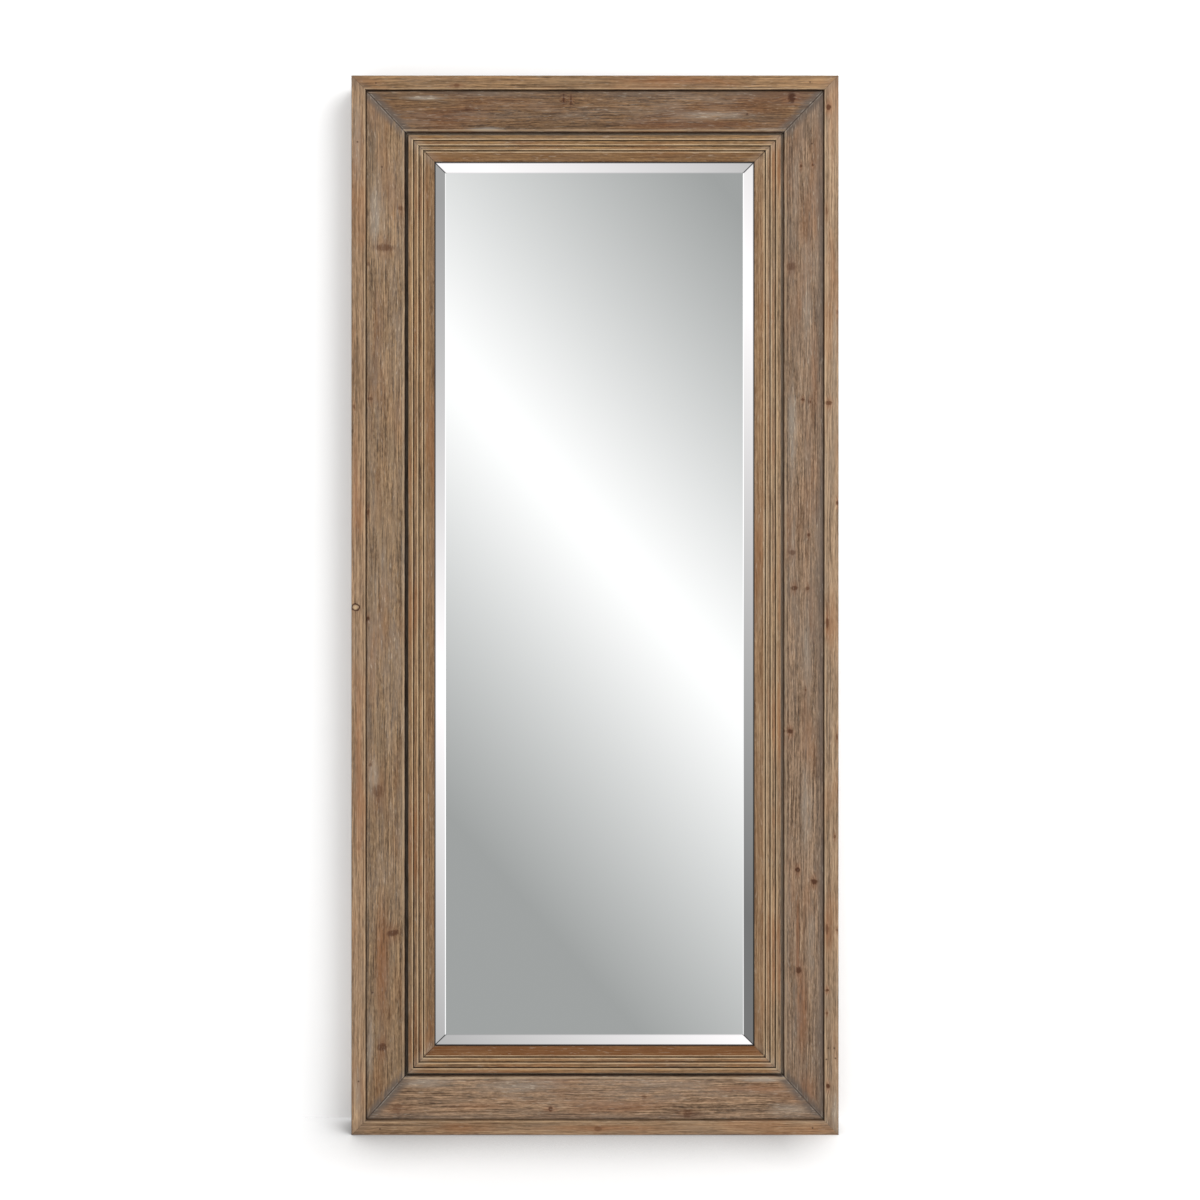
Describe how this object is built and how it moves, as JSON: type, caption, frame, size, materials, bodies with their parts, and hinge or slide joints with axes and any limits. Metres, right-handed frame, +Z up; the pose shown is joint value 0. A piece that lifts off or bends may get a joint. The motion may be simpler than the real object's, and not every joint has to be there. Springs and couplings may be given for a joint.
{
  "type": "full-length framed mirror",
  "caption": "Tall rectangular bevelled mirror in a wide stepped wooden frame, to lean on or hang from a wall, upright or sideways.",
  "frame": {"origin": "on the floor plane, under the middle of the object's bounding box", "axes": "+Z up along the mirror's height, +X along its width to the viewer's right, +Y towards the wall; the glass faces -Y"},
  "size_m": [0.952, 0.0782, 2.07],
  "materials": {
    "strip_wood": "warm brown antiqued fir, light glaze, satin",
    "panel_wood": "warm brown antiqued fir with a grey glaze, matt",
    "liner_wood": "warm brown antiqued fir, darker in the quirks, satin",
    "back_wood": "raw pine, unfinished",
    "silvered_glass": "polished, silvered behind",
    "backing_fibreboard": "brown hardboard",
    "setting_rubber": "matt",
    "bumper_rubber": "satin",
    "zinc_steel": "zinc plated",
    "nickel_wire": "nickel plated",
    "screw_steel": "yellow zinc plated"
  },
  "bodies": {
    "frame": {"edge_strip_left": "strip_wood", "sloped_panel_left": "panel_wood", "reeded_liner_left": "liner_wood", "edge_strip_bottom": "strip_wood", "sloped_panel_bottom": "panel_wood", "reeded_liner_bottom": "liner_wood", "edge_strip_right": "strip_wood", "sloped_panel_right": "panel_wood", "reeded_liner_right": "liner_wood", "edge_strip_top": "strip_wood", "sloped_panel_top": "panel_wood", "reeded_liner_top": "liner_wood", "back_rail_bottom": "back_wood", "back_rail_top": "back_wood", "back_stile_left": "back_wood", "back_stile_right": "back_wood", "mirror_glass": "silvered_glass", "backing_board": "backing_fibreboard", "glass_setting_block_left": "setting_rubber", "glass_setting_block_right": "setting_rubber", "retaining_clip_1": "zinc_steel", "clip_screw_1": "screw_steel", "retaining_clip_2": "zinc_steel", "clip_screw_2": "screw_steel", "retaining_clip_3": "zinc_steel", "clip_screw_3": "screw_steel", "retaining_clip_4": "zinc_steel", "clip_screw_4": "screw_steel", "retaining_clip_5": "zinc_steel", "clip_screw_5": "screw_steel", "retaining_clip_6": "zinc_steel", "clip_screw_6": "screw_steel", "retaining_clip_7": "zinc_steel", "clip_screw_7": "screw_steel", "retaining_clip_8": "zinc_steel", "clip_screw_8": "screw_steel", "hanger_strap_upright_left": "zinc_steel", "hanger_screw_upright_left_1": "screw_steel", "hanger_screw_upright_left_2": "screw_steel", "hanger_strap_upright_right": "zinc_steel", "hanger_screw_upright_right_1": "screw_steel", "hanger_screw_upright_right_2": "screw_steel", "hanger_strap_sideways_lower": "zinc_steel", "hanger_screw_sideways_lower_1": "screw_steel", "hanger_screw_sideways_lower_2": "screw_steel", "hanger_strap_sideways_upper": "zinc_steel", "hanger_screw_sideways_upper_1": "screw_steel", "hanger_screw_sideways_upper_2": "screw_steel", "wall_bumper_lower_left": "bumper_rubber", "wall_bumper_lower_right": "bumper_rubber", "wall_bumper_upper_left": "bumper_rubber", "wall_bumper_upper_right": "bumper_rubber"},
    "upright_left_ring": {"d_ring_upright_left": "nickel_wire"},
    "upright_right_ring": {"d_ring_upright_right": "nickel_wire"},
    "sideways_lower_ring": {"d_ring_sideways_lower": "nickel_wire"},
    "sideways_upper_ring": {"d_ring_sideways_upper": "nickel_wire"}
  },
  "joints": [
    {"name": "upright_left_ring_hinge", "type": "hinge", "parent": "frame", "child": "upright_left_ring", "pos_m": [-0.398, 0.03455, 1.76], "axis": [1, 0, 0], "range_deg": [0, 170]},
    {"name": "upright_right_ring_hinge", "type": "hinge", "parent": "frame", "child": "upright_right_ring", "pos_m": [0.398, 0.03455, 1.76], "axis": [1, 0, 0], "range_deg": [0, 170]},
    {"name": "sideways_lower_ring_hinge", "type": "hinge", "parent": "frame", "child": "sideways_lower_ring", "pos_m": [-0.425, 0.03455, 0.535], "axis": [0, 0, 1], "range_deg": [0, 170]},
    {"name": "sideways_upper_ring_hinge", "type": "hinge", "parent": "frame", "child": "sideways_upper_ring", "pos_m": [-0.425, 0.03455, 1.535], "axis": [0, 0, 1], "range_deg": [0, 170]}
  ]
}
